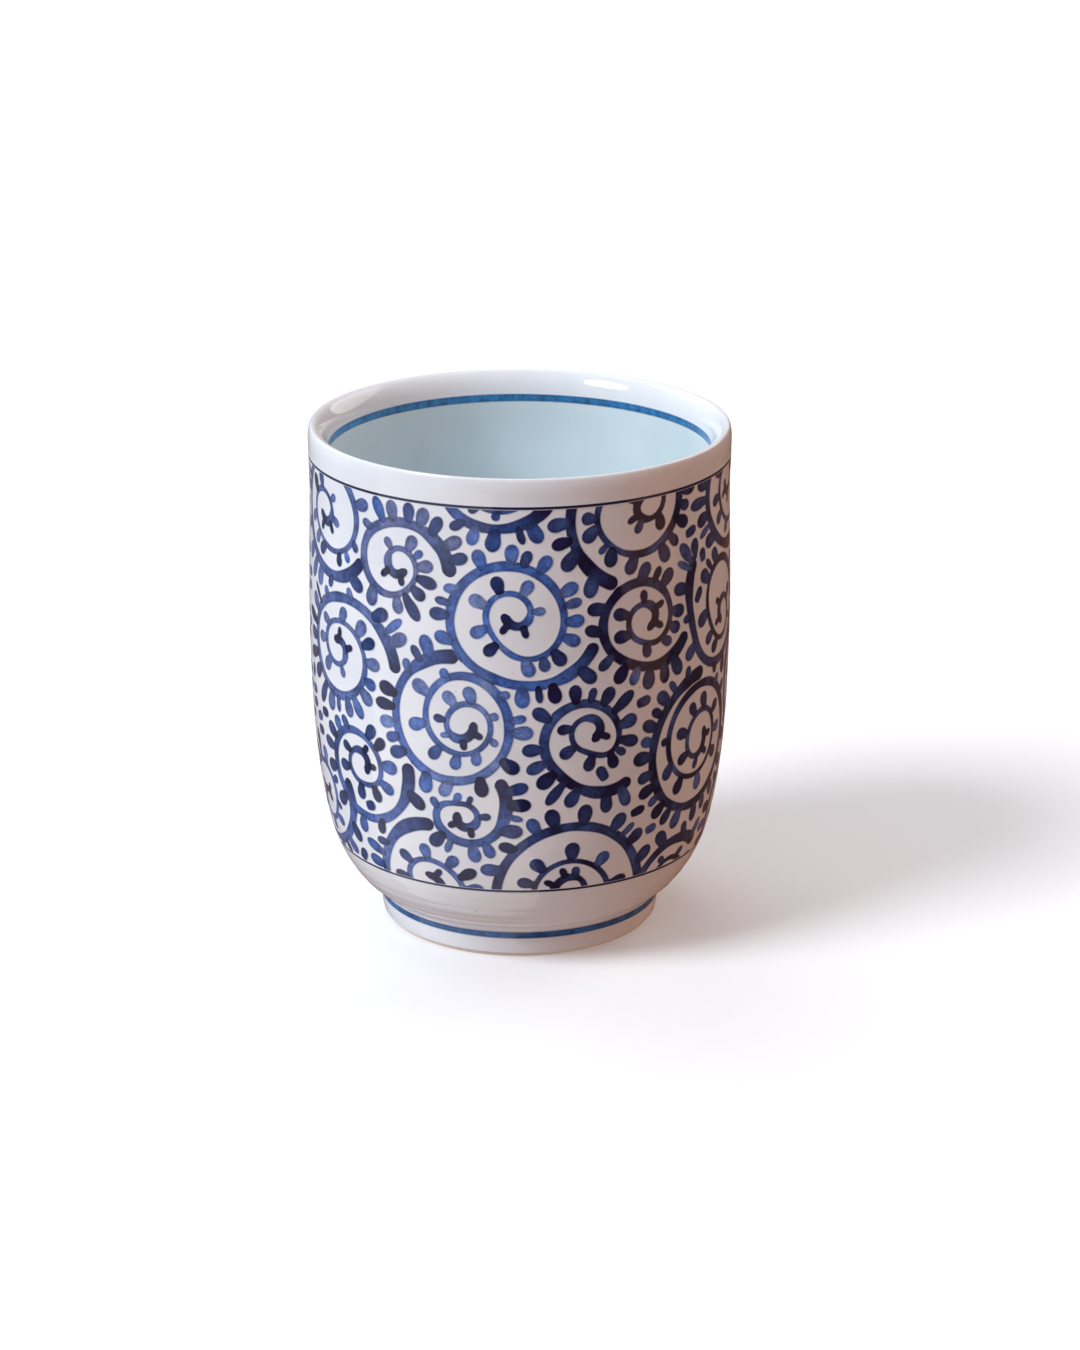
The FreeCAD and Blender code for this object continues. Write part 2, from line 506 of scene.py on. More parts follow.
def ink(wash, grey=0.0):
    """Cobalt from nearly black at wash 0, through blue at 0.6, to a pale wash at 1."""
    wash = np.clip(np.asarray(wash, float), 0, 1)[..., None]
    low = INK_DARK + (INK_BLUE - INK_DARK) * np.minimum(wash / 0.6, 1)
    colour = low + (INK_PALE - low) * np.clip((wash - 0.6) / 0.4, 0, 1)
    return colour + (INK_GREY - colour) * grey * np.clip(wash * 1.6, 0, 1)


def ease(x):
    """A share from 0 to 1 that starts and ends gently."""
    return x * x * (3 - 2 * x)


def wander(count, step, reach):
    """A slow random walk between -1 and 1, for what a hand does along a stroke."""
    knots = rng.uniform(-1, 1, max(2, int(count * step / reach) + 3))
    at = np.arange(count) * step / reach
    i = at.astype(int)
    f = ease(at - i)
    return knots[i] * (1 - f) + knots[i + 1] * f


class Painting:
    """Strokes on one skin, gathered into one painted piece. Each point has its ink, which is a
    colour, and its fade, which is 0 at a stroke's outermost edge and 1 inside."""

    def __init__(self, skin, layer=0.0, already_inked=None):
        self.skin = skin
        self.already_inked = already_inked
        self.vertices, self.faces, self.inks, self.fades = [], [], [], []
        self.count = 0
        self.layer = layer

    def _keep(self, theta, s, inks, fades, faces, rise=0.0):
        """Adds one stroke's points and faces, darker where they cross what is inked already."""
        points = self.skin.place(theta, s, LIFT + self.layer + rise)
        if self.already_inked:
            over = self.already_inked(points)
            inks, fades = inks.copy(), fades.copy()
            inks[over] *= OVERLAP
            fades[over] = 1.0
        self.vertices.append(points)
        self.inks.append(inks)
        self.fades.append(fades)
        self.faces.extend([[v + self.count for v in face] for face in faces])
        self.count += len(points)

    def stroke(self, theta, s, half, colours, closed=False):
        """A brush line along (theta, s), as wide as half on each side of its middle."""
        half = half + WIDENED
        radius = self.skin.radius(s)
        if closed:
            turn = (np.roll(theta, -1) - np.roll(theta, 1) + math.pi) % (2 * math.pi) - math.pi
            east, north = turn * radius, np.roll(s, -1) - np.roll(s, 1)
        else:
            east, north = np.gradient(theta) * radius, np.gradient(s)
        long = np.hypot(east, north) + 1e-12
        east, north = east / long, north / long
        firm = half - np.minimum(FEATHER, half * SOFT_SHARE)
        across = np.stack([-half, -firm, -firm * 0.45, half * 0, firm * 0.45, firm, half], 1)
        t = theta[:, None] - north[:, None] * across / radius[:, None]
        q = s[:, None] + east[:, None] * across
        rows, wide = across.shape
        fades = np.tile([0, 1, 1, 1, 1, 1, 0], (rows, 1)).astype(float)
        numbers = np.arange(rows * wide).reshape(rows, wide).tolist()
        faces = quads(numbers + numbers[:1] if closed else numbers)
        pooled = np.tile([POOLED, POOLED, 1, THIN, 1, POOLED, POOLED], rows)
        inks = np.repeat(colours, wide, axis=0) * pooled[:, None]
        rise = 0.0 if closed else np.repeat(np.linspace(0, STROKE_RISE, rows), wide)
        self._keep(t.ravel(), q.ravel(), inks, fades.ravel(), faces, rise)

    def leaf(self, theta, s, heading, long, half, colours, neck=0.5):
        """A drop from its base at (theta, s) along heading, broad towards its tip."""
        half = half + WIDENED
        count = LEAF_CORNERS
        turn = np.linspace(0, 2 * math.pi, count, endpoint=False)
        along = 0.5 - 0.5 * np.cos(turn)
        body = np.sqrt(np.clip(1 - ((along - BROADEST) / (1 - BROADEST)) ** 2, 0, 1))
        base = neck + (1 - neck) * np.sin(np.clip(along / BROADEST, 0, 1) * math.pi / 2) ** 1.3
        root = np.clip(along / 0.06, 0, 1) ** 0.5
        side = np.where(along > BROADEST, body, base * root) * np.sign(np.sin(turn) + 1e-9)
        side[0] = 0
        soft = min(FEATHER / half, 0.42)
        a, b, fades, shades = [], [], [], []
        for scale, fade in ((1.0, 0.0), (1 - soft, 1.0), ((1 - soft) * 0.5, 1.0)):
            a.append((0.5 + (along - 0.5) * (1 - (1 - scale) * half / long * 2)) * long)
            b.append(side * half * scale)
            fades.append(np.full(count, fade))
            shades.append(along)
        a.append([LEAF_MIDDLE * long])
        b.append([0.0])
        fades.append([1.0])
        shades.append([LEAF_MIDDLE])
        a, b = np.concatenate(a), np.concatenate(b)
        shade = np.concatenate(shades)[:, None]
        pooled = np.r_[np.full(2 * count, POOLED), np.full(count, THIN), 1.1]
        inks = (colours[0] * (1 - shade) + colours[1] * shade) * pooled[:, None]
        east, north = math.cos(heading), math.sin(heading)
        radius = float(self.skin.radius(s))
        t = theta + (a * east - b * north) / radius
        q = s + a * north + b * east
        rings = np.arange(3 * count).reshape(3, count)
        rings = np.c_[rings, rings[:, 0]].tolist()
        faces = quads(rings) + [[i, j, 3 * count] for i, j in zip(rings[2], rings[2][1:])]
        self._keep(t, q, inks, np.concatenate(fades), faces)

    def clipped(self, between):
        """The strokes as a bmesh, cut off at two heights, with its ink and fade."""
        work = bmesh.new()
        ink_layer = work.verts.layers.float_color.new("ink")
        fade_layer = work.verts.layers.float.new("fade")
        points = np.concatenate(self.vertices) * MM
        inks, fades = np.concatenate(self.inks), np.concatenate(self.fades)
        made = []
        for point, colour, fade in zip(points, inks, fades):
            vertex = work.verts.new(point)
            vertex[ink_layer] = (*colour, 1.0)
            vertex[fade_layer] = fade
            made.append(vertex)
        for face in self.faces:
            work.faces.new([made[i] for i in face])
        bmesh.ops.remove_doubles(work, verts=work.verts, dist=MERGED)
        bmesh.ops.dissolve_degenerate(work, edges=work.edges, dist=MERGED)
        if between:
            for height, keep in zip(between, (-1, 1)):
                bmesh.ops.bisect_plane(
                    work, geom=work.verts[:] + work.edges[:] + work.faces[:], dist=1e-9,
                    plane_co=(0, 0, height * MM), plane_no=(0, 0, keep), clear_outer=True)
        return work

    def piece(self, name, between=None):
        """The painted piece: a thin closed film whose face has the glaze's own smooth normals."""
        work = self.clipped(between)
        bmesh.ops.recalc_face_normals(work, faces=work.faces)
        centre = np.array([f.calc_center_median() for f in work.faces])
        facing = np.array([f.normal for f in work.faces])
        wrong = [f for f, c, n in zip(work.faces, centre, facing) if self._inward(c, n)]
        bmesh.ops.reverse_faces(work, faces=wrong)
        bmesh.ops.solidify(work, geom=work.faces[:], thickness=FILM * MM)
        mesh = bpy.data.meshes.new(name)
        work.to_mesh(mesh)
        work.free()
        mesh.materials.append(paint)
        mesh.shade_smooth()
        self._smooth_face(mesh)
        piece = bpy.data.objects.new(name, mesh)
        bpy.context.scene.collection.objects.link(piece)
        return piece

    def _inward(self, point, normal):
        """Whether a face looks into the cup's wall instead of out of it."""
        theta = math.atan2(point[0], -point[1])
        out = self.skin.normal(theta, self.skin.s_at_height(point[2] / MM))
        return float(np.dot(out, normal)) < 0

    def _smooth_face(self, mesh):
        """Gives the film's outer face the normals of the surface that it lies on."""
        points = np.zeros(len(mesh.vertices) * 3)
        mesh.vertices.foreach_get("co", points)
        points = points.reshape(-1, 3)
        theta = np.arctan2(points[:, 0], -points[:, 1])
        s = self.skin.s_at_height(points[:, 2] / MM)
        out = self.skin.normal(theta, s)
        surface = self.skin.place(theta, s, 0.0)
        over = np.einsum("ij,ij->i", points / MM - surface, out) > LIFT * 0.5
        normals = np.zeros((len(mesh.loops), 3))
        for polygon in mesh.polygons:
            corners = list(polygon.loop_indices)
            ids = [mesh.loops[i].vertex_index for i in corners]
            if all(over[ids]):
                normals[corners] = out[ids]
            else:
                normals[corners] = np.array(polygon.normal)
        mesh.normals_split_custom_set(normals)


def ring_line(name, skin, height, width, colour, slot, node, wash=0.12):
    """A line painted right round the cup on the wheel, with a little life in its width."""
    theta = np.linspace(0, 2 * math.pi, LINE_CORNERS, endpoint=False)
    life = sum(np.sin(k * theta + p) / k for k, p in ((2, 0.4), (5, 2.0), (11, 4.1), (23, 1.3)))
    s = skin.s_at_height(height) + 0.03 * np.sin(3 * theta + 1)
    half = width / 2 * (1 + 0.09 * life)
    depth = 1 - wash * 0.5 * (np.sin(2 * theta + 2.2) + 0.5 * np.sin(7 * theta))
    painting = Painting(skin, LINE_LAYER)
    painting.stroke(theta, s + theta * 0, half, colour[None, :] * depth[:, None], closed=True)
    register(painting.piece(name), slot, node)


for name, height in (("upper_border", UPPER_BORDER), ("lower_border", LOWER_BORDER)):
    ring_line(name, outside, height, BORDER_WIDTH, INK_DARK, "cobalt_line", name + "_line")
ring_line("band_inside_rim", inside, *RIM_BAND, INK_RIM, "cobalt_band", "inner_rim_band", 0.3)
ring_line("band_on_foot", outside, *FOOT_BAND, INK_FOOT, "cobalt_band", "foot_band", 0.3)


# -------- the octopus scrolls
# Each scroll is one vine that starts at its tail, runs round an outer ring and winds in to an
# eye.  Places are (angle in degrees round the cup, height in millimetres).
SCROLLS = [
    # centre, ring, tail end, way, tail turns, ring turns, eye centre, eye radius, wash, grey
    ((-63, 75), 9.3, (-46, 69.5), -1, 0.2, 0.75, (-64.5, 75.2), 4.4, 0.45, 0.7),
    ((-36, 70.8), 6, (-17.5, 69.5), 1, 0.27, 0.5, (-33.3, 70.2), 3.1, 0.55, 0.9),
    ((-3.2, 62.8), 9.5, (20.5, 58.5), -1, 0.22, 0.8, (-1.4, 63.8), 4.4, 0.52, 0),
    ((-57.5, 53), 8.4, (-33.5, 52), 1, 0.26, 0.7, (-57, 53.2), 4.2, 0.52, 0.7),
    ((-18.3, 44.8), 9.8, (-16, 56.3), 1, 0.3, 0.6, (-15, 44.8), 5.2, 0.55, 0.15),
    ((-50.5, 33.6), 6.4, (-31, 37), -1, 0.45, 0.55, (-48.2, 34.3), 3.5, 0.38, 0.4),
    ((-14.5, 30), 6.2, (-5.6, 36), -1, 0.12, 0.45, (-15.5, 28.6), 2.6, 0.34, 0.2),
    ((-29, 14.8), 8.2, (-24, 27), 1, 0.2, 0.45, (-27.5, 15.5), 4.4, 0.42, 0.3),
    ((-72, 23.5), 7.2, (-56, 30.5), -1, 0.2, 0.7, (-72, 23.5), 3.3, 0.4, 0.4),
    ((-8, 86.3), 8.2, (8, 82.5), -1, 0.15, 0.8, (-8, 86), 4.2, 0.22, 0),
    ((33, 80.6), 8.4, (26.3, 67.8), -1, 0.65, 0.55, (35, 80.5), 3.8, 0.12, 0.3),
    ((33, 61), 6.7, (50.3, 57), -1, 0.22, 0.75, (35.3, 61), 3.6, 0.12, 0.3),
    ((68, 58), 8.9, (53, 69.5), 1, 0.12, 0.8, (71, 57), 4.3, 0.14, 0.3),
    ((17, 42), 6.6, (31.6, 34), -1, 0.2, 0.7, (19, 43.5), 3.4, 0.16, 0.2),
    ((56.5, 36.5), 11.2, (58.5, 49), 1, 0.25, 0.7, (57.5, 37.2), 6.2, 0.12, 0.3),
    ((14.5, 15.4), 12.3, (38, 8), 1, 0.1, 0.62, (13.8, 15.2), 6, 0.12, 0.3),
    ((51, 13.5), 6.8, (64, 17.5), 1, 0.1, 0.7, (51, 13.5), 3.4, 0.12, 0.3),
    ((76, 78.5), 9.6, (88, 69), -1, 0.2, 0.75, (76, 78.5), 4.4, 0.14, 0.3),
    # the back of the cup, in the same hand
    ((92, 42), 8.6, (84, 52.5), 1, 0.25, 0.72, (93, 42), 4.2, 0.35, 0.1),
    ((99, 63), 7, (114.5, 69), 1, 0.25, 0.65, (97.5, 62.6), 3.4, 0.4, 0.3),
    ((86, 21), 8, (101.5, 27.5), 1, 0.22, 0.7, (86, 20.5), 3.9, 0.3, 0.2),
    ((108, 82.5), 8.6, (92, 76.5), 1, 0.2, 0.75, (108.5, 82.5), 4, 0.42, 0),
    ((127, 61), 9.2, (110, 54), 1, 0.22, 0.78, (127.5, 61.5), 4.4, 0.5, 0),
    ((118, 35.5), 7.4, (131, 43), 1, 0.25, 0.65, (117, 35.2), 3.6, 0.38, 0.5),
    ((121, 16), 8.4, (101.5, 16), -1, 0.2, 0.8, (121, 16), 4.2, 0.26, 0.2),
    ((141, 79), 7.2, (157, 72), -1, 0.25, 0.7, (141.5, 79), 3.5, 0.34, 0.5),
    ((147, 43), 9.8, (139, 54.5), 1, 0.25, 0.78, (148.5, 43), 5.1, 0.46, 0),
    ((150, 22), 7.6, (134, 25), -1, 0.25, 0.7, (150, 22), 3.7, 0.28, 0.3),
    ((159, 64.5), 7, (173.5, 71), 1, 0.26, 0.66, (158, 64.5), 3.4, 0.32, 0.3),
    ((178, 81), 9, (163, 77), 1, 0.2, 0.8, (178, 81), 4.3, 0.45, 0),
    ((184, 58.5), 9, (168, 52), 1, 0.22, 0.78, (184.5, 59), 4.3, 0.36, 0.5),
    ((175, 34.5), 8.2, (189, 42.5), 1, 0.25, 0.68, (174, 34.2), 3.9, 0.48, 0),
    ((180, 13.5), 8.6, (197, 15.5), 1, 0.18, 0.78, (180, 13.5), 4.1, 0.24, 0.2),
    ((205, 72.5), 7.8, (219.5, 66), -1, 0.24, 0.7, (205.5, 72.8), 3.8, 0.32, 0.2),
    ((209, 45), 9.4, (205, 56.5), 1, 0.26, 0.74, (210, 45), 4.8, 0.5, 0),
    ((204, 24), 7, (189.5, 27), -1, 0.24, 0.7, (204.5, 24), 3.5, 0.28, 0.4),
    ((232, 80), 8.6, (216.5, 78), 1, 0.2, 0.8, (232, 80), 4.2, 0.36, 0),
    ((234, 58.5), 8, (248, 66), 1, 0.25, 0.7, (233, 58.5), 3.9, 0.42, 0.4),
    ((236, 36), 7.8, (221.5, 30.5), 1, 0.22, 0.75, (236.5, 36.2), 3.8, 0.28, 0.3),
    ((229, 15), 7.6, (244, 17.5), 1, 0.18, 0.78, (229, 15), 3.7, 0.3, 0.2),
    ((261, 71.5), 9.4, (246.5, 76.5), 1, 0.22, 0.78, (261.5, 71.8), 4.4, 0.48, 0),
    ((262, 47), 8.2, (249, 54), 1, 0.24, 0.7, (261.5, 47), 4, 0.34, 0.5),
    ((259, 24.5), 8.4, (246, 31.5), 1, 0.24, 0.74, (259, 24.5), 4.1, 0.26, 0.2),
]
STEP = 0.38  # between points along a vine
SPOT_STEP = 0.8  # between the spots that are tried for a leaf
CLUB = 1.18  # half width of a vine's thick tail end
VINE = 0.88  # half width of a vine on its outer ring
CURL = 0.54  # and round its eye
TAIL = (5.0, 10.0)  # the tail keeps its width so far, and is a ring's wide from here
COMMA_END = (7.0, 5.0)  # the end starts to widen, and is at its widest, so far from the tip
COMMA = 0.82  # and at its very end, where the brush is pressed down
LEAF_LONG = 2.75  # past the vine's edge
LEAF_HALF = 1.14
EDGE = 0.06  # cobalt reaches this far past a vine's half width
CLEAR = 0.38  # white left between a leaf and its neighbours
TIGHTER = 0.7  # the share of that which a leaf in a gap makes do with
STUB_CLEAR = 0.05
ROOT = 3.0  # a leaf may touch its own vine so far each way from its base
STUB_ROOT = 4.2
LEAST_HALF = 0.62
ATTACHED_NECK = 0.48  # how wide a leaf's base is, as a share of its broadest part
LOOSE_NECK = 0.78
LOOSE_HALF = 0.98
LOOSE_LONGS = (3.1, 2.6, 2.1)
SECTORS = 8  # the leaves in the gaps are gathered into so many pieces
MARGIN = 1.2  # strokes are drawn this far past the border lines, then cut
LEAF_MARGIN = 0.8  # and leaves start no further past them than this
FAR, NEAR = 6.0, 3.2  # how far white is measured from a free spot, and from a leaf
REACH = 4.6  # the furthest that a vine is looked for from a spot
PATH_POINTS = 4000
ROUNDING = 0.16  # turns over which a vine changes from one radius to the next
TIPS = np.array([0.0, 0.02, 0.08, 0.18, 0.32, 0.5, 0.72]) * 1.1  # closer points at its ends

# Sizes and leans (radians off the vine's normal) that a leaf tries until it finds white.
LEAF_TRIES = [(size, lean) for size in (1.1, 0.95, 0.8, 0.65, 0.5) for lean in (0, 0.3, -0.3, 0.6, -0.6)]


def keyed(at, keys, values):
    """Values eased from key to key."""
    i = np.clip(np.searchsorted(keys, at, side="right") - 1, 0, len(keys) - 2)
    keys, values = np.asarray(keys, float), np.asarray(values, float)
    f = ease(np.clip((at - keys[i]) / (keys[i + 1] - keys[i]), 0, 1))
    return values[i] * (1 - f) + values[i + 1] * f


def flowing(at, keys, values, reach):
    """Values that run straight from key to key, with the corners rounded off over reach."""
    straight = np.interp(at, keys, values)
    width = max(3, int(reach / (at[1] - at[0])) | 1)
    padded = np.r_[np.full(width // 2, straight[0]), straight, np.full(width // 2, straight[-1])]
    return np.convolve(padded, np.full(width, 1 / width), "valid")


# How a vine winds in from its outer ring: turns, and radii as shares of the eye's radius.
WIDE_EYE = [(0.25, 1.42), (0.25, 1.02), (0.25, 0.88), (0.25, 0.86), (0.25, 0.56), (0.25, 0.5),
            (0.25, 0.33), (0.2, 0.32)]
EYE = [(0.27, 1.08), (0.25, 1.0), (0.25, 0.72), (0.25, 0.5), (0.25, 0.32), (0.2, 0.34)]
SMALL_EYE = [(0.22, 1.0), (0.32, 0.95), (0.25, 0.66), (0.25, 0.4), (0.18, 0.38)]


def winding(ring, tail_radius, tail_turns, ring_turns, eye_radius):
    """Turns and radii of a vine, from its tail to the end of its curl, and how far into the
    eye's own centre it has moved."""
    steps = [(tail_turns, ring, 0), (ring_turns, ring * 0.96, 0)]
    eye = WIDE_EYE if eye_radius > 4.5 else EYE if eye_radius > 3.8 else SMALL_EYE
    steps += [(turn, eye_radius * share, 1) for turn, share in eye]
    turns = np.r_[0, np.cumsum([turn for turn, _, _ in steps])]
    radii = [tail_radius] + [radius for _, radius, _ in steps]
    shifts = [0] + [shift for _, _, shift in steps]
    return turns, radii, shifts


class Vine:
    """A scroll's vine as evenly spaced points, each with its half width and outward side."""

    def __init__(self, centre, ring, tail, way, tail_turns, ring_turns, eye, eye_radius):
        skin = outside
        s0, s1, s2 = (float(skin.s_at_height(place[1])) for place in (centre, tail, eye))
        t0, t1, t2 = (math.radians(place[0]) for place in (centre, tail, eye))
        tail_east = (t1 - t0) * float(skin.radius((s0 + s1) / 2))
        tail_radius = math.hypot(tail_east, s1 - s0)
        start = math.atan2(s1 - s0, tail_east)
        turns, radii, shifts = winding(ring, tail_radius, tail_turns, ring_turns, eye_radius)
        turned = np.linspace(0, turns[-1], PATH_POINTS)
        wobble = 1 + 0.02 * wander(PATH_POINTS, turns[-1] / PATH_POINTS, 0.3)
        radius = flowing(turned, turns, radii, ROUNDING) * wobble
        shift = flowing(turned, turns, shifts, ROUNDING)
        angle = start + way * turned * 2 * math.pi
        middle_s = s0 + (s2 - s0) * shift
        middle_t = t0 + (t2 - t0) * shift
        s = middle_s + radius * np.sin(angle)
        theta = middle_t + radius * np.cos(angle) / skin.radius(s)
        at_radius = skin.radius(s)
        along = np.r_[0, np.cumsum(np.hypot(np.diff(theta) * at_radius[1:], np.diff(s)))]
        self.long = along[-1]
        body = np.arange(TIPS[-1] + STEP * 0.6, self.long - TIPS[-1] * 0.6, STEP)
        self.d = d = np.r_[TIPS, body, self.long - TIPS[::-1] * 0.6]
        self.theta, self.s = np.interp(d, along, theta), np.interp(d, along, s)
        self.local = np.interp(d, along, radius)
        self.way = way
        east = np.gradient(self.theta) * skin.radius(self.s)
        north = np.gradient(self.s)
        size = np.hypot(east, north) + 1e-12
        self.outward = np.c_[north, -east] / size[:, None] * way
        self.half = self._half_width()

    def _half_width(self):
        """Half the vine's width along it: a club, a thin curl, a comma, and rounded ends."""
        d, left = self.d, self.long - self.d
        keys = [0, *TAIL, self.long * 0.5, self.long * 0.7, *(self.long - np.array(COMMA_END)), self.long]
        half = keyed(d, keys, [CLUB, CLUB, VINE, VINE * 0.95, CURL, CURL, COMMA, COMMA])
        half = half * (1 + 0.1 * wander(len(d), STEP, 3.0))
        for end in (d, left):
            inside_cap = end < half
            x = np.clip(end[inside_cap] / half[inside_cap], 0, 1)
            half[inside_cap] *= np.sqrt(np.clip(1 - (1 - x) ** 2, 0, 1))
        return np.maximum(half, 1e-4)

    def wash(self, base):
        """How thin the cobalt lies along the vine: dark where the brush starts and stops."""
        ends = np.minimum(ease(np.clip(self.d / 9, 0, 1)),
                          ease(np.clip((self.long - self.d - 1.5) / 5, 0, 1)))
        life = 0.24 * wander(len(self.d), STEP, 4.5) + 0.12 * wander(len(self.d), STEP, 1.6)
        return np.clip(base * (0.05 + 0.95 * ends) + ends * life, 0, 1)

    def runs(self):
        """Stretches of the vine that lie near or inside the decorated zone."""
        low = float(outside.s_at_height(LOWER_BORDER - MARGIN))
        high = float(outside.s_at_height(UPPER_BORDER + MARGIN))
        inside_zone = (self.s > low) & (self.s < high)
        cuts = np.flatnonzero(np.diff(inside_zone.astype(int))) + 1
        for run in np.split(np.arange(len(self.s)), cuts):
            if inside_zone[run[0]] and len(run) > 4:
                yield run


class Ground:
    """What is already painted, as small discs, so that the next leaf finds white to stand on."""

    def __init__(self, vines):
        self.owner, self.index, self.size = [], [], []
        self.tree = KDTree(sum(len(vine.s) for vine in vines))
        for k, vine in enumerate(vines):
            for i, point in enumerate(outside.place(vine.theta, vine.s, 0.0)):
                self.tree.insert(point, len(self.size))
                self.owner.append(k)
                self.index.append(i)
                self.size.append(vine.half[i])
        self.tree.balance()
        self.leaf_points = np.zeros((0, 3))
        self.leaf_sizes = np.zeros(0)

    def room(self, point, owner=-1, near=0, skip=0):
        """White round a point, not counting the stretch of vine that a leaf grows from."""
        best = FAR
        for _, i, distance in self.tree.find_range(point, FAR if owner < 0 else NEAR):
            if self.owner[i] == owner and abs(self.index[i] - near) * STEP < skip:
                continue
            best = min(best, distance - self.size[i])
        if len(self.leaf_sizes):
            apart = np.linalg.norm(self.leaf_points - point, axis=1) - self.leaf_sizes
            best = min(best, float(apart.min()))
        return best

    def clear(self, points, half, *root):
        """White left round a leaf of this half width; root is what room leaves out."""
        return min(self.room(point, *root) for point in points) - half

    def nearest(self, point):
        """The vine that reaches closest to a point: its number, place along it and distance."""
        found = self.tree.find_range(point, REACH)
        if not found:
            return None
        _, i, distance = min(found, key=lambda hit: hit[2] - self.size[hit[1]])
        return self.owner[i], self.index[i], distance

    def inked(self, points, drawing=-1):
        """Which points lie inside a vine, other than the one that is being drawn."""
        over = np.zeros(len(points), bool)
        for k, point in enumerate(points):
            for _, i, distance in self.tree.find_range(point, CLUB):
                if self.owner[i] != drawing and distance < self.size[i] + EDGE:
                    over[k] = True
                    break
        return over

    def add(self, points, sizes):
        self.leaf_points = np.r_[self.leaf_points, points]
        self.leaf_sizes = np.r_[self.leaf_sizes, sizes]


def leaf_discs(theta, s, heading, long, half, first):
    """A leaf as discs along its middle, from share first of its length to its tip."""
    shares = np.array([first, (first + 1) / 2, 1.0])
    reach = np.minimum(shares * long, long - half)
    radius = float(outside.radius(s))
    t = theta + reach * math.cos(heading) / radius
    points = outside.place(t, s + reach * math.sin(heading), 0.0)
    return points, np.full(3, half)


def leaf_colours(base, grey):
    """Colours at a leaf's base and tip: most are nearly black, some blue, and a few a thin wash."""
    load = rng.random()
    dark = 0.92 - base
    if load < dark:
        tip = rng.uniform(0.0, 0.2)
    elif load < 0.92:
        tip = base + rng.uniform(0.0, 0.2)
    else:
        tip = rng.uniform(0.5, 0.5 + base * 0.6)
    root = tip + rng.uniform(-0.1, 0.2)
    return ink(np.clip([root, tip], 0, 1), grey)


# The stubs on a vine's curled end: how far back each one stands, and its lean (radians).
STUBS = [(4.0, 0.1), (1.7, -0.1)]
STUB_LONGS = (2.4, 2.1, 1.8)
STUB_HALF = 0.66
STUB_INK = (0.03, 0.0)  # its wash at the base and the tip
STUB_NECK = 0.85


def scale_at(local):
    """A leaf's size and the distance to the next one, by how tightly the vine curls there."""
    if local > 5.6:
        return 1.0, 4.8
    if local > 2.9:
        return 0.9, 3.3
    return 0.62, 2.5


def grow_leaves(painting, ground, owner, vine, base, grey):
    """Leaves along the outer side of a vine, where there is white for them."""
    low, high = LOWER_BORDER - LEAF_MARGIN, UPPER_BORDER + LEAF_MARGIN
    at = TAIL[0]
    while at < vine.long - STUBS[0][0] - 1.2:
        i = int(np.argmin(np.abs(vine.d - at)))
        scale, pace = scale_at(vine.local[i])
        east, north = vine.outward[i]
        straight = math.atan2(north, east) + rng.uniform(-0.12, 0.12)
        theta, s = float(vine.theta[i]), float(vine.s[i])
        placed = False
        if low < float(outside.place(theta, s, 0.0)[2]) < high:
            life = rng.uniform(0.93, 1.07)
            for shrink, lean in LEAF_TRIES:
                long = LEAF_LONG * scale * shrink * life + vine.half[i]
                half = LEAF_HALF * scale * max(shrink, 0.72) * life
                heading = straight + lean
                points, sizes = leaf_discs(theta, s, heading, long, half, 0.62)
                if ground.clear(points, half, owner, i, ROOT) > CLEAR:
                    painting.leaf(theta, s, heading, long, half, leaf_colours(base, grey))
                    ground.add(points, sizes)
                    placed = True
                    break
        at += pace * rng.uniform(0.94, 1.06) if placed else pace * 0.22
    for back, lean in STUBS:
        i = int(np.argmin(np.abs(vine.d - (vine.long - back))))
        east, north = vine.outward[i]
        heading = math.atan2(north, east) + lean * vine.way
        theta, s = float(vine.theta[i]), float(vine.s[i])
        if not low < float(outside.place(theta, s, 0.0)[2]) < high:
            continue
        for long in STUB_LONGS:
            points, sizes = leaf_discs(theta, s, heading, long, STUB_HALF, 0.7)
            if ground.clear(points, STUB_HALF, owner, i, STUB_ROOT) > STUB_CLEAR:
                painting.leaf(theta, s, heading, long, STUB_HALF, ink(STUB_INK), STUB_NECK)
                ground.add(points, sizes)
                break


def paint_scrolls(vines, ground):
    """Each vine with the leaves that grow from it. Pieces are named a1 to a9, b1 to b9 and on."""
    for k, (row, vine) in enumerate(zip(SCROLLS, vines)):
        name = "scroll_" + "abcde"[k // 9] + str(k % 9 + 1)
        base, grey = row[-2:]
        layer = VINE_LAYERS[k % len(VINE_LAYERS)]
        painting = Painting(outside, layer, lambda points, k=k: ground.inked(points, k))
        colours = ink(vine.wash(base), grey)
        for run in vine.runs():
            painting.stroke(vine.theta[run], vine.s[run], vine.half[run], colours[run])
        painting.already_inked = ground.inked
        painting.layer = LEAF_LAYER
        grow_leaves(painting, ground, k, vine, base, grey)
        piece = painting.piece(name, (LOWER_BORDER, UPPER_BORDER))
        register(piece, "cobalt_wash", "arabesque_layer")


def inside_circle(theta, z, middle, radius):
    """Whether a spot lies inside a circle round a place, given in degrees and height."""
    turn = (theta - math.radians(middle[0]) + math.pi) % (2 * math.pi) - math.pi
    return math.hypot(turn * RIM_RADIUS, z - middle[1]) < radius


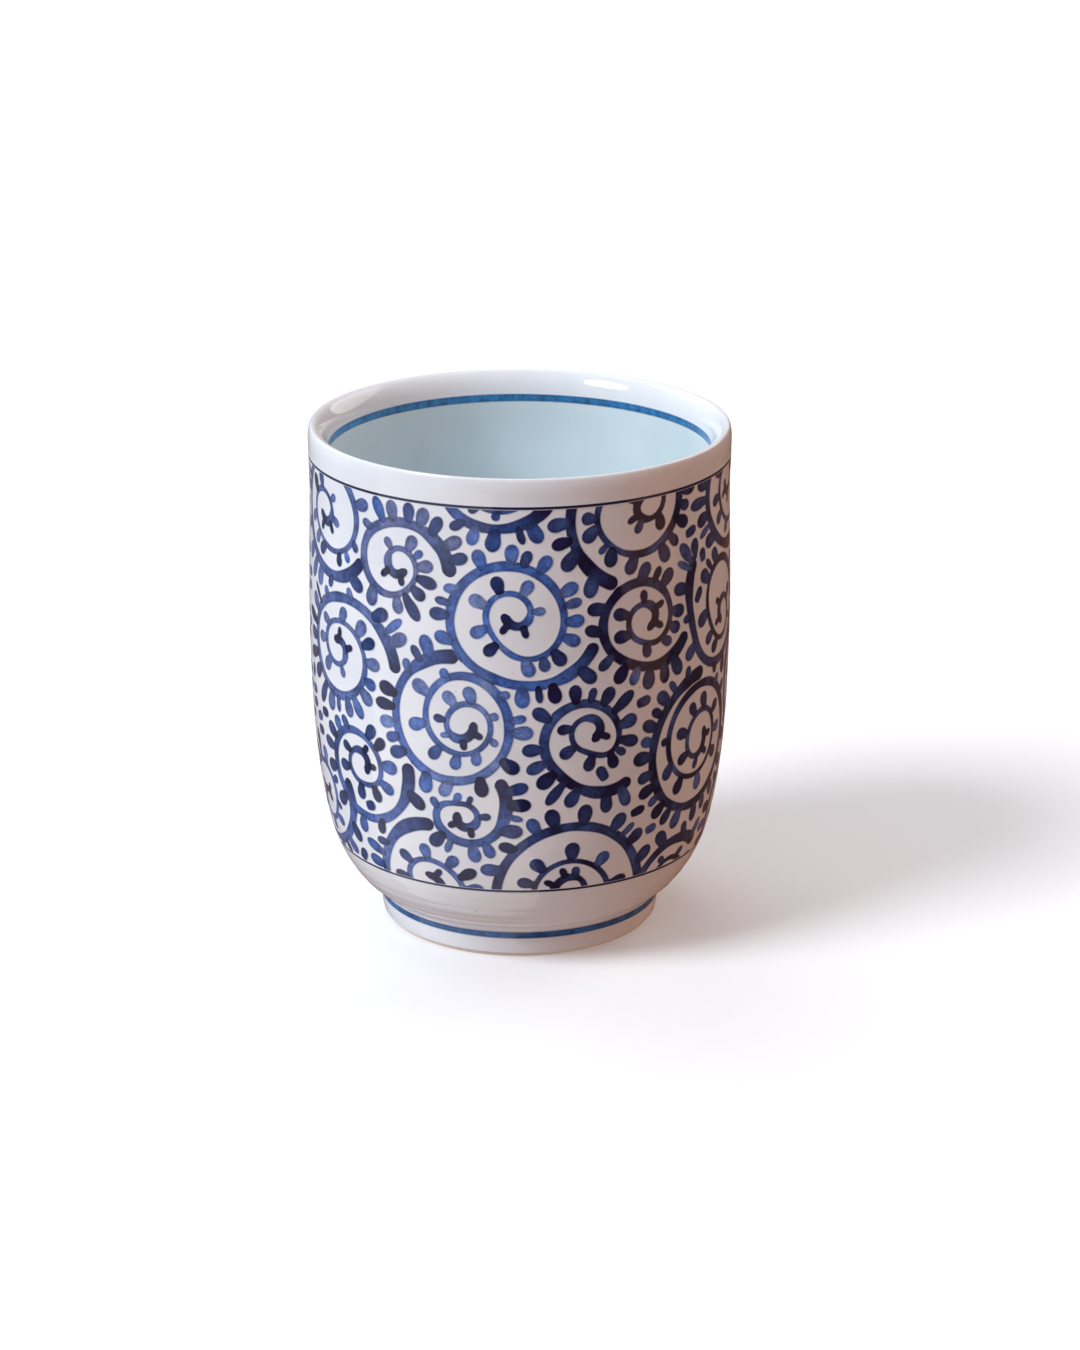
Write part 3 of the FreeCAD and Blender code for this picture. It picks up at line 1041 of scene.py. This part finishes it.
def open_spots(ground, least, kept_white):
    """Places in the decorated zone with at least this much white round them, widest first."""
    spots = []
    for z in np.arange(LOWER_BORDER + 0.8, UPPER_BORDER - 0.6, SPOT_STEP):
        s = float(outside.s_at_height(z))
        around = int(2 * math.pi * float(outside.radius(s)) / SPOT_STEP)
        for k in range(around):
            theta = 2 * math.pi * k / around - math.pi
            if any(inside_circle(theta, z, *circle) for circle in kept_white):
                continue
            point = outside.place(theta, s, 0.0)
            room = ground.room(point)
            if room > least:
                spots.append((room, theta, s, point))
    spots.sort(key=lambda spot: -spot[0])
    return spots


def attached_leaf(ground, vines, theta, s, point):
    """A leaf that grows from the nearest vine's outer side to a spot, or None."""
    near = ground.nearest(point)
    if near is None:
        return None
    owner, i, distance = near
    vine = vines[owner]
    half = min(LEAF_HALF, ground.room(point, owner, i, ROOT) - CLEAR)
    if half < LEAST_HALF or distance - vine.half[i] < half * 0.7:
        return None
    t0, s0 = float(vine.theta[i]), float(vine.s[i])
    east, north = (theta - t0) * float(outside.radius(s0)), s - s0
    if (east * vine.outward[i][0] + north * vine.outward[i][1]) < 0.35 * distance:
        return None
    heading = math.atan2(north, east)
    long = distance + half
    points, sizes = leaf_discs(t0, s0, heading, long, half, 0.62)
    if ground.clear(points, half, owner, i, ROOT) < CLEAR * TIGHTER:
        return None
    return t0, s0, heading, long, half, ATTACHED_NECK, points, sizes


def loose_leaf(ground, theta, s, point):
    """A leaf that stands alone on a spot, turned to where it fits best, or None."""
    half = min(LOOSE_HALF, ground.room(point) - CLEAR) * rng.uniform(0.9, 1.0)
    best = None
    for heading in np.linspace(0, math.pi, 8, endpoint=False) + rng.uniform(0, 0.3):
        for long in LOOSE_LONGS:
            t0 = theta - long / 2 * math.cos(heading) / float(outside.radius(s))
            s0 = s - long / 2 * math.sin(heading)
            points, sizes = leaf_discs(t0, s0, heading, long, half, half / long)
            if ground.clear(points, half) > CLEAR * TIGHTER:
                if best is None or long > best[3]:
                    best = (t0, s0, heading, long, half, LOOSE_NECK, points, sizes)
                break
    return best


def fill_gaps(vines, ground):
    """Leaves in the white that is left between the scrolls: on a vine where one is close."""
    sectors = [Painting(outside, LEAF_LAYER, ground.inked) for _ in range(SECTORS)]
    rings = [(row[0], row[1] * 0.95) for row in SCROLLS]
    for attach, least in ((True, 0.95), (False, 1.35)):
        for _, theta, s, point in open_spots(ground, least, rings):
            if ground.room(point) < least:
                continue
            leaf = (attached_leaf(ground, vines, theta, s, point) if attach
                    else loose_leaf(ground, theta, s, point))
            if leaf is None:
                continue
            t0, s0, heading, long, half, neck, points, sizes = leaf
            sector = int((theta + math.pi) / (2 * math.pi) * SECTORS) % SECTORS
            colours = leaf_colours(rng.uniform(0.1, 0.5), rng.uniform(0, 0.6))
            sectors[sector].leaf(t0, s0, heading, long, half, colours, neck)
            ground.add(points, sizes)
    for k, painting in enumerate(sectors):
        piece = painting.piece(f"loose_leaves_{k + 1}", (LOWER_BORDER, UPPER_BORDER))
        register(piece, "cobalt_wash", "arabesque_layer")


vines = [Vine(*row[:-2]) for row in SCROLLS]
ground = Ground(vines)
paint_scrolls(vines, ground)
fill_gaps(vines, ground)


# -------- floor, light and camera
FLOOR_REACH = 4000  # half the floor's width
FLOOR_TONES = [(0.3, (0.94, 0.94, 0.94)), (0.7, (0.96, 0.96, 0.96))]
FLOOR_CLOUDS = (3, 2)  # features a metre, and detail
FLOOR_LOOK = {  # matt, and faintly lit
    "Roughness": 0.9, "Specular_IOR_Level": 0.0,
    "Emission_Color": (0.8, 0.95, 1.0, 1.0), "Emission_Strength": 0.05,
}
# Each light: degrees round from the front, degrees up, degrees wide, strength and colour.
LIGHTS = {
    "window": (-62, 42, 24, 2.25, (0.93, 0.975, 1.04)),
    "overhead": (0, 80, 70, 0.34, (1.0, 0.97, 0.94)),
    "back": (-150, 45, 50, 0.7, (1.0, 1.0, 1.0)),
    "back_right": (128, 28, 40, 0.8, (1.0, 0.98, 0.96)),
    "warm_wall": (75, 8, 60, 0.36, (1.0, 0.42, 0.2)),
    "table": (-50, -48, 80, 1.0, (1.0, 0.93, 0.92)),
}
WARM_SIDE = (0.88, 0.0, -0.47)  # towards the warm side of the room
ROOM_COLOURS = [(0.15, (0.34, 0.37, 0.44)), (0.65, (0.19, 0.088, 0.055))]
CAMERA_DISTANCE = 633.0
CAMERA_PITCH = 19.0
CAMERA_LENS = 100.0
CAMERA_SENSOR = 36.0
AIM_HEIGHT = 43.2
CAMERA_SHIFT = (0.0150, -0.0061)


def plain_floor():
    """A wide, pale, matt floor under the cup."""
    shader = Shader("pale_floor", **FLOOR_LOOK)
    shader.colour(shader.ramp(shader.noise(*FLOOR_CLOUDS), "Fac", FLOOR_TONES))
    corners = [(x * FLOOR_REACH, y * FLOOR_REACH, 0) for x, y in ((-1, -1), (1, -1), (1, 1), (-1, 1))]
    floor = finish_mesh("floor", corners, [(0, 1, 2, 3)], shader.material)
    floor.visible_diffuse = False  # its white is kept off the cup, as with black flags
    floor.visible_glossy = False
    floor.visible_shadow = False  # it lets the soft light from below through


def soft_light(name, turn, rise, spread, strength, colour):
    """An even, soft light from far away."""
    light = bpy.data.lights.new(name, "SUN")
    light.angle = math.radians(spread)
    light.energy = strength
    light.color = colour
    lamp = bpy.data.objects.new(name, light)
    turn, rise = math.radians(turn), math.radians(rise)
    towards = Vector((math.sin(turn) * math.cos(rise), -math.cos(turn) * math.cos(rise), math.sin(rise)))
    lamp.rotation_euler = towards.to_track_quat("Z", "Y").to_euler()
    lamp.location = towards
    bpy.context.scene.collection.objects.link(lamp)


def room_light():
    """Soft light from all round: cool on the left, dim and warm on the right and below."""
    world = bpy.data.worlds.new("studio")
    world.use_nodes = True
    room = Nodes(world.node_tree)
    direction = room.add("ShaderNodeTexCoord")
    across = room.add("ShaderNodeVectorMath", operation="DOT_PRODUCT")
    across.inputs[1].default_value = WARM_SIDE
    share = room.add("ShaderNodeMath", operation="MULTIPLY_ADD")
    share.inputs[1].default_value = 0.5  # from -1 to 1, to a share from 0 to 1
    share.inputs[2].default_value = 0.5
    room.link(direction, "Generated", across, "Vector")
    room.link(across, "Value", share, "Value")
    ramp = room.ramp(share, "Value", ROOM_COLOURS)
    room.link(ramp, "Color", room.nodes["Background"], "Color")
    bpy.context.scene.world = world


def photo_camera():
    """A long lens in front of the cup, looking a little down into it."""
    data = bpy.data.cameras.new("camera")
    data.sensor_width = CAMERA_SENSOR
    data.lens = CAMERA_LENS
    data.shift_x, data.shift_y = CAMERA_SHIFT
    camera = bpy.data.objects.new("camera", data)
    pitch = math.radians(CAMERA_PITCH)
    aim = Vector((0, 0, AIM_HEIGHT))
    away = Vector((0, -math.cos(pitch), math.sin(pitch)))
    camera.location = (aim + away * CAMERA_DISTANCE) * MM
    camera.rotation_euler = (-away).to_track_quat("-Z", "Y").to_euler()
    bpy.context.scene.collection.objects.link(camera)
    bpy.context.scene.camera = camera


plain_floor()
room_light()
for name, light in LIGHTS.items():
    soft_light(name, *light)
photo_camera()
bpy.context.scene.view_settings.view_transform = "Standard"
